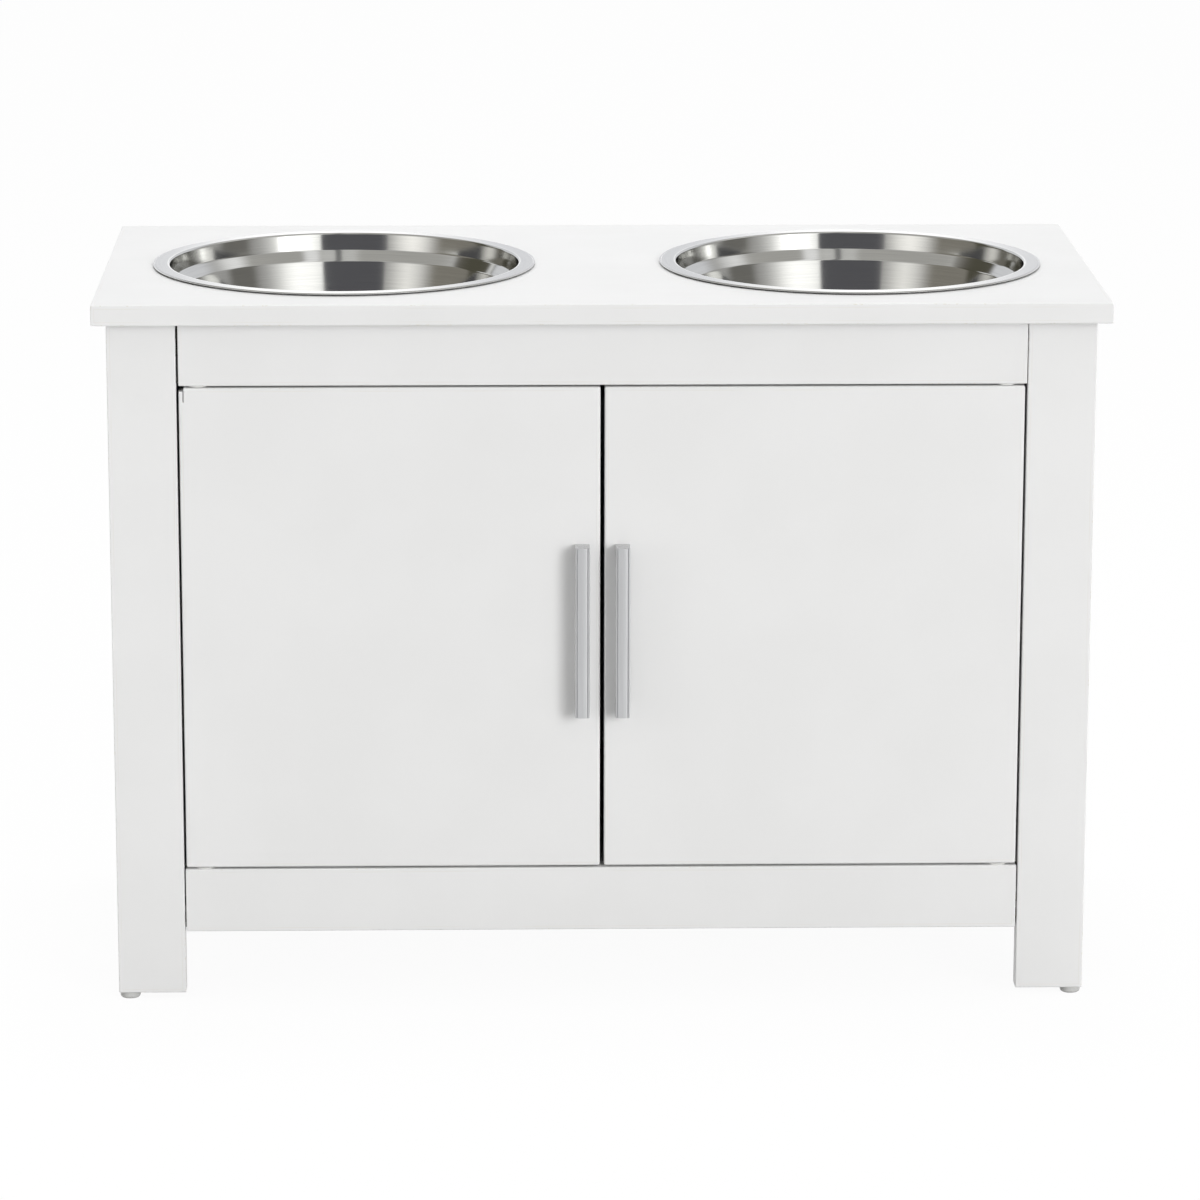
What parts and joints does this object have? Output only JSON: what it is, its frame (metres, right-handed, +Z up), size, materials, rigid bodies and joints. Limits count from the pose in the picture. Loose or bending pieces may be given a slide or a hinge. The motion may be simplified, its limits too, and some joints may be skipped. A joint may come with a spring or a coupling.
{
  "type": "elevated dog feeder with storage",
  "caption": "Low white storage cabinet with hinged doors and bar handles, whose top panel holds round lift-out steel feeding bowls.",
  "frame": {"origin": "on the floor under the glides, at the centre of the overall length and of the overall depth, handles included", "axes": "+X to the right along the length, seen from in front; +Y from the doors to the back; +Z up"},
  "size_m": [0.74, 0.364, 0.529],
  "materials": {
    "white_board": "satin",
    "polished_steel": "polished",
    "satin_metal": "satin",
    "white_plastic": "satin",
    "zinc_steel": "satin",
    "ferrite": "matte",
    "beech": "matte"
  },
  "bodies": {
    "cabinet": {"top_panel": "white_board", "left_side_panel": "white_board", "right_side_panel": "white_board", "left_stile": "white_board", "right_stile": "white_board", "top_front_rail": "white_board", "bottom_front_rail": "white_board", "floor_panel": "white_board", "back_panel": "white_board", "rear_top_rail": "white_board", "rear_bottom_rail": "white_board", "left_upper_bushing": "white_plastic", "left_lower_bushing": "white_plastic", "right_upper_bushing": "white_plastic", "right_lower_bushing": "white_plastic", "left_catch_housing": "white_plastic", "right_catch_housing": "white_plastic", "left_catch_magnet": "ferrite", "right_catch_magnet": "ferrite", "left_catch_poles": "zinc_steel", "right_catch_poles": "zinc_steel", "catch_screws": "zinc_steel", "front_left_glide": "white_plastic", "front_right_glide": "white_plastic", "rear_left_glide": "white_plastic", "rear_right_glide": "white_plastic", "glide_nails": "zinc_steel", "cam_discs": "zinc_steel", "cam_studs": "zinc_steel", "wood_dowels": "beech", "back_panel_nails": "zinc_steel"},
    "left_door": {"left_door": "white_board", "left_handle": "satin_metal", "left_handle_screws": "zinc_steel", "left_upper_pivot_pin": "zinc_steel", "left_lower_pivot_pin": "zinc_steel", "left_strike_plate": "zinc_steel", "left_strike_screw": "zinc_steel"},
    "right_door": {"right_door": "white_board", "right_handle": "satin_metal", "right_handle_screws": "zinc_steel", "right_upper_pivot_pin": "zinc_steel", "right_lower_pivot_pin": "zinc_steel", "right_strike_plate": "zinc_steel", "right_strike_screw": "zinc_steel"},
    "left_bowl": {"left_bowl": "polished_steel"},
    "right_bowl": {"right_bowl": "polished_steel"}
  },
  "joints": [
    {"name": "left_door_hinge", "type": "hinge", "parent": "cabinet", "child": "left_door", "pos_m": [-0.2947, -0.1585, 0.283], "axis": [0, 0, -1], "range_deg": [0, 120]},
    {"name": "right_door_hinge", "type": "hinge", "parent": "cabinet", "child": "right_door", "pos_m": [0.2947, -0.1585, 0.283], "axis": [0, 0, 1], "range_deg": [0, 120]},
    {"name": "left_bowl_lift", "type": "slide", "parent": "cabinet", "child": "left_bowl", "axis": [0, 0, 1], "range_m": [0, 0.12]},
    {"name": "right_bowl_lift", "type": "slide", "parent": "cabinet", "child": "right_bowl", "axis": [0, 0, 1], "range_m": [0, 0.12]}
  ]
}
